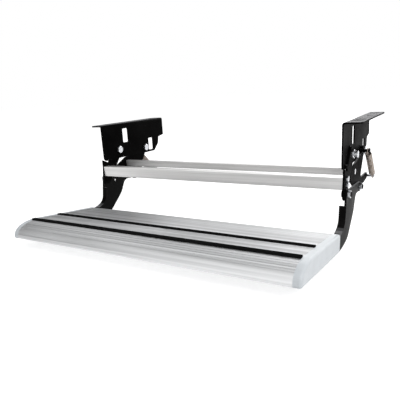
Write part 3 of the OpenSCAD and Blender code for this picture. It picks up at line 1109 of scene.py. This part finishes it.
@dataclass
class FrontLinks:
    """Front links, the square crossbar and the bolts that hold it."""

    plate_edge: float = 0.5
    bar_edge: float = 0.8
    bar_steps: int = 3
    flats: float = 10.0
    head: float = 4.0
    dish: Span = (3.4, 2.8)
    dish_depth: float = 0.5
    shaft: float = 12.0
    shaft_r: float = 3.0
    shaft_tip: float = 0.5

    def bolt(self) -> bpy.types.Mesh:
        """A bar bolt with a dished head.

        Returns:
            The mesh.
        """
        part = Fastener("bar_bolt").round(self.shaft_r - self.shaft_tip, -self.shaft)
        part.round(self.shaft_r, self.shaft_tip - self.shaft).round(self.shaft_r, 0.0)
        part.hexagon(self.flats, 0.0).hexagon(self.flats, self.head, True).face(self.flats, self.head)
        return part.round(self.dish[0], self.head).round(self.dish[1], self.head - self.dish_depth).mesh()

    def build(self, dresser: Dresser, finishes: Finishes) -> None:
        """Dresses the links and the bar and makes the bolts.

        Args:
            dresser: Gives CAD nodes their finish.
            finishes: The step's materials.
        """
        dresser.dress(("left_front_link", "right_front_link"), finishes.coat, self.plate_edge)
        dresser.dress(("front_crossbar",), finishes.bar, self.bar_edge, self.bar_steps)
        FastenerSet("front_bar_bolt_set", self.bolt(), PLAN.link_out, PLAN.bar_bolts, Body.LINKS,
                    "front_bar_bolts").build(finishes.zinc)


@dataclass
class RearLevers:
    """Rear levers with their spring studs, and the flat crossbar."""

    plate_edge: float = 0.5
    bar_edge: float = 0.6
    bar_steps: int = 3
    pin_edge: float = 0.4

    def build(self, dresser: Dresser, finishes: Finishes) -> None:
        """Dresses the levers, the bar, its screws and the studs.

        Args:
            dresser: Gives CAD nodes their finish.
            finishes: The step's materials.
        """
        dresser.dress(("left_rear_lever", "right_rear_lever"), finishes.coat, self.plate_edge)
        dresser.dress(("rear_crossbar",), finishes.bar, self.bar_edge, self.bar_steps)
        dresser.dress(("rear_bar_screws", "lever_spring_studs"), finishes.zinc, self.pin_edge)


@dataclass
class StepArms:
    """Step arms with the pins and nuts of the lower pivots, and the screws of their feet."""

    plate_edge: float = 0.6
    pin_edge: float = 0.4
    flats: float = 14.0
    nut: float = 5.0
    bore_r: float = 5.02

    def build(self, dresser: Dresser, finishes: Finishes) -> None:
        """Dresses the arms, pins and screws and makes the nuts.

        Args:
            dresser: Gives CAD nodes their finish.
            finishes: The step's materials.
        """
        pins = ("lower_front_pins", "lower_rear_pins", "arm_foot_screws")
        dresser.dress(("left_step_arm", "right_step_arm"), finishes.arm_coat, self.plate_edge)
        dresser.dress(pins, finishes.coat, self.pin_edge)
        rows = (("front_lower_nut_set", PLAN.lower_front, "lower_front_nuts"),
                ("rear_lower_nut_set", PLAN.lower_rear, "lower_rear_nuts"))
        for name, spot, node in rows:
            mesh = Fastener.nut("lower_nut", self.flats, self.nut, self.bore_r)
            FastenerSet(name, mesh, PLAN.arm_out, [spot], Body.STEP, node).build(finishes.zinc)


@dataclass
class Tread:
    """The ribbed tread with its grip strips, end plates and caps."""

    rib_edge: float = 0.25
    cap_edge: float = 0.6
    cap_steps: int = 3
    plate_edge: float = 0.4
    strip_back: Span = (45.0, 112.0)
    strip_width: float = 9.0
    strip_sink: float = 5.0
    strip_proud: float = 3.0
    corner: float = 1.1
    corner_steps: int = 4
    ridges: int = 4
    ridge_depth: float = 0.8
    ridge_steps: int = 8

    def corner_arc(self, y: float, z: float, start: float) -> list[Side]:
        """A quarter round at a top corner of a strip.

        Args:
            y: Its centre's distance back from the nose.
            z: Its centre's height above the tread's underside.
            start: Where it starts, in quarter turns.

        Returns:
            Points of the tread's own section.
        """
        turns = [math.pi / 2.0 * (start + i / self.corner_steps) for i in range(self.corner_steps + 1)]
        return [(y + self.corner * math.cos(a), z + self.corner * math.sin(a)) for a in turns]

    def strip_section(self, back: float) -> list[Vector]:
        """The section of a grip strip, round the outside.

        Args:
            back: Distance of its back edge from the nose.

        Returns:
            Points at the tread's left end, in metres.
        """
        foot, top = PLAN.tread_top - self.strip_sink, PLAN.tread_top + self.strip_proud
        front, r = back - self.strip_width, self.corner
        shape = [(front, foot), (back, foot), *self.corner_arc(back - r, top - r, 0.0)]
        steps = self.ridge_steps * self.ridges
        for i in range(1, steps):
            u = i / steps
            dip = self.ridge_depth / 2.0 * (1.0 - math.cos(2.0 * math.pi * self.ridges * u))
            shape.append((back - r - u * (self.strip_width - 2.0 * r), top - dip))
        shape += self.corner_arc(front + r, top - r, 1.0)
        return [at(-PLAN.tread_half, PLAN.tread_point(y, z)) for y, z in shape]

    def build(self, dresser: Dresser, finishes: Finishes) -> None:
        """Dresses the tread and makes its grip strips.

        Args:
            dresser: Gives CAD nodes their finish.
            finishes: The step's materials.
        """
        plates = ("left_tread_plate", "right_tread_plate", "tread_plate_screws")
        dresser.dress(("tread",), finishes.tread, self.rib_edge)
        dresser.dress(("left_end_cap", "right_end_cap"), finishes.cap, self.cap_edge, self.cap_steps)
        dresser.dress(plates, finishes.zinc, self.plate_edge)
        for name, back in zip(("front_grip_strip", "rear_grip_strip"), self.strip_back):
            section = point_mesh(name + "_section", self.strip_section(back), closed=True)
            piece = section_tree().run(section, name + "_rubber", Length=2.0 * PLAN.tread_half * MM,
                                       Finish=finishes.rubber)
            settle(piece, Body.STEP, name)


@dataclass(frozen=True)
class Lamp:
    """One soft area lamp, aimed at the step."""

    name: str
    place: Triple
    size: float
    power: float

    def build(self, aim: Vector) -> None:
        """Makes the lamp.

        Args:
            aim: The point that it faces.
        """
        data = bpy.data.lights.new(self.name, "AREA")
        data.size = self.size
        data.energy = self.power
        lamp = bpy.data.objects.new(self.name, data)
        lamp.location = self.place
        lamp.rotation_euler = (aim - Vector(self.place)).to_track_quat("-Z", "Y").to_euler()
        bpy.context.scene.collection.objects.link(lamp)


@dataclass(frozen=True)
class DarkCard:
    """A dark card beside the step, which the bright metal mirrors."""

    name: str
    place: Triple
    width: float
    height: float
    colour: Colour = (0.01, 0.01, 0.01)

    def build(self, aim: Vector) -> None:
        """Makes the card, kept out of the camera's own view.

        Args:
            aim: The point that it faces.
        """
        middle, w, h = Vector(self.place), self.width / 2.0, self.height / 2.0
        turn = (aim - middle).to_track_quat("Z", "Y").to_matrix()
        corners = [middle + turn @ Vector((x * w, y * h, 0.0)) for x, y in SQUARE]
        mesh = point_mesh(self.name, corners, closed=True)
        shader = Shader(self.name)
        shader.paint(Base_Color=self.colour, Specular_IOR_Level=0.0)
        mesh.materials.append(shader.material)
        card = bpy.data.objects.new(self.name, mesh)
        bpy.context.scene.collection.objects.link(card)
        card.visible_camera = False
        card.visible_shadow = False
        card.visible_diffuse = False
        card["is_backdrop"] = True


@dataclass
class Studio:
    """Pale floor, white surround, soft lamps, dark cards and the camera."""

    camera_place: Triple = (0.4686, -0.9336, 0.0705)
    camera_ahead: Triple = (-0.5016, 0.8302, -0.2433)
    camera_right: Triple = (0.862, 0.5035, -0.0593)
    camera_reach: Span = (0.01, 100.0)
    lens: float = 39.32
    floor_half: float = 15.0
    floor_gap: float = 0.0008
    floor_colour: Colour = (0.8, 0.8, 0.8)
    floor_glow: float = 0.57
    sky_light: float = 0.55
    aim: Triple = (0.0, -0.1, -0.14)
    lamps: tuple[Lamp, ...] = (
        Lamp("key_lamp", (1.5, -1.3, 1.9), 1.8, 42.0),
        Lamp("back_lamp", (0.3, 2.4, 1.0), 2.3, 37.0),
        Lamp("fill_lamp", (-1.8, -1.4, 1.2), 1.6, 2.0),
    )
    cards: tuple[DarkCard, ...] = (
        DarkCard("back_card", (-2.0, 1.1, 0.35), 2.0, 1.3),
        DarkCard("side_card", (-2.0, -0.7, 1.25), 1.8, 1.7),
        DarkCard("front_card", (-1.9, -1.4, 0.25), 1.3, 0.9),
    )

    @staticmethod
    def seen(nodes: Nodes) -> Socket:
        """A value that is 1 for rays from the camera, mirrors and glass.

        Args:
            nodes: The tree to add it to.

        Returns:
            The value.
        """
        path = nodes.add("ShaderNodeLightPath")
        value = path.outputs["Is Camera Ray"]
        for name in ("Is Glossy Ray", "Is Transmission Ray"):
            value = nodes.math("MAXIMUM", value, path.outputs[name])
        return value

    def surround(self) -> None:
        """Makes the world: white where it is seen, softer where it lights."""
        world = bpy.data.worlds.new("white_surround")
        bpy.context.scene.world = world
        world.use_nodes = True
        nodes = Nodes(world.node_tree)
        light = nodes.make("ShaderNodeBackground", Color=WHITE, Strength=self.sky_light)
        white = nodes.make("ShaderNodeBackground", Color=WHITE, Strength=1.0)
        mix = nodes.add("ShaderNodeMixShader")
        nodes.feed(mix, self.seen(nodes), light.outputs[0], white.outputs[0])
        nodes.feed(nodes.add("ShaderNodeOutputWorld"), mix.outputs[0])

    def floor_finish(self) -> bpy.types.Material:
        """Makes the floor's material: matt and lit, with a glow where it is seen.

        Returns:
            The material.
        """
        material = bpy.data.materials.new("pale_floor")
        material.use_nodes = True
        nodes = Nodes(material.node_tree)
        matt = nodes.make("ShaderNodeBsdfDiffuse", Color=self.floor_colour)
        share = nodes.math("MULTIPLY", self.seen(nodes), self.floor_glow)
        glow = nodes.make("ShaderNodeEmission", Color=WHITE, Strength=share)
        both = nodes.feed(nodes.add("ShaderNodeAddShader"), matt.outputs[0], glow.outputs[0])
        nodes.feed(nodes.add("ShaderNodeOutputMaterial"), both.outputs[0])
        return material

    def floor(self, level: float) -> None:
        """Lays the pale floor.

        Args:
            level: Its height, in metres.
        """
        corners = [Vector((x * self.floor_half, y * self.floor_half, level)) for x, y in SQUARE]
        mesh = point_mesh("studio_floor", corners, closed=True)
        mesh.materials.append(self.floor_finish())
        floor = bpy.data.objects.new("studio_floor", mesh)
        bpy.context.scene.collection.objects.link(floor)
        floor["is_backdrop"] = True

    def camera(self) -> None:
        """Sets the camera at the photograph's place."""
        data = bpy.data.cameras.new("photo_camera")
        data.lens = self.lens
        data.clip_start, data.clip_end = self.camera_reach
        camera = bpy.data.objects.new("photo_camera", data)
        ahead, right = Vector(self.camera_ahead).normalized(), Vector(self.camera_right).normalized()
        up = right.cross(ahead).normalized()
        turn = Matrix((right, up, -ahead)).transposed()
        camera.matrix_world = Matrix.Translation(Vector(self.camera_place)) @ turn.to_4x4()
        bpy.context.scene.collection.objects.link(camera)
        bpy.context.scene.camera = camera

    def build(self, level: float) -> None:
        """Makes the whole studio.

        Args:
            level: Height of the step's lowest point, in metres.
        """
        bpy.context.scene.view_settings.view_transform = "Standard"
        self.surround()
        self.floor(level - self.floor_gap)
        self.camera()
        for thing in (*self.cards, *self.lamps):
            thing.build(Vector(self.aim))


def clear_start() -> None:
    """Removes what Blender's start scene holds."""
    for thing in list(bpy.data.objects):
        bpy.data.objects.remove(thing)


def main() -> None:
    logging.basicConfig(level=logging.INFO, format="%(name)s: %(message)s")
    clear_start()
    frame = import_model()
    solid_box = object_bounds()
    finishes = Finishes()
    dresser = Dresser(frame["nodes"])
    Brackets().build(dresser, finishes)
    Springs().build(finishes)
    FrontLinks().build(dresser, finishes)
    RearLevers().build(dresser, finishes)
    StepArms().build(dresser, finishes)
    Tread().build(dresser, finishes)
    Studio().build(solid_box[0].z)


if __name__ == "__main__":
    main()
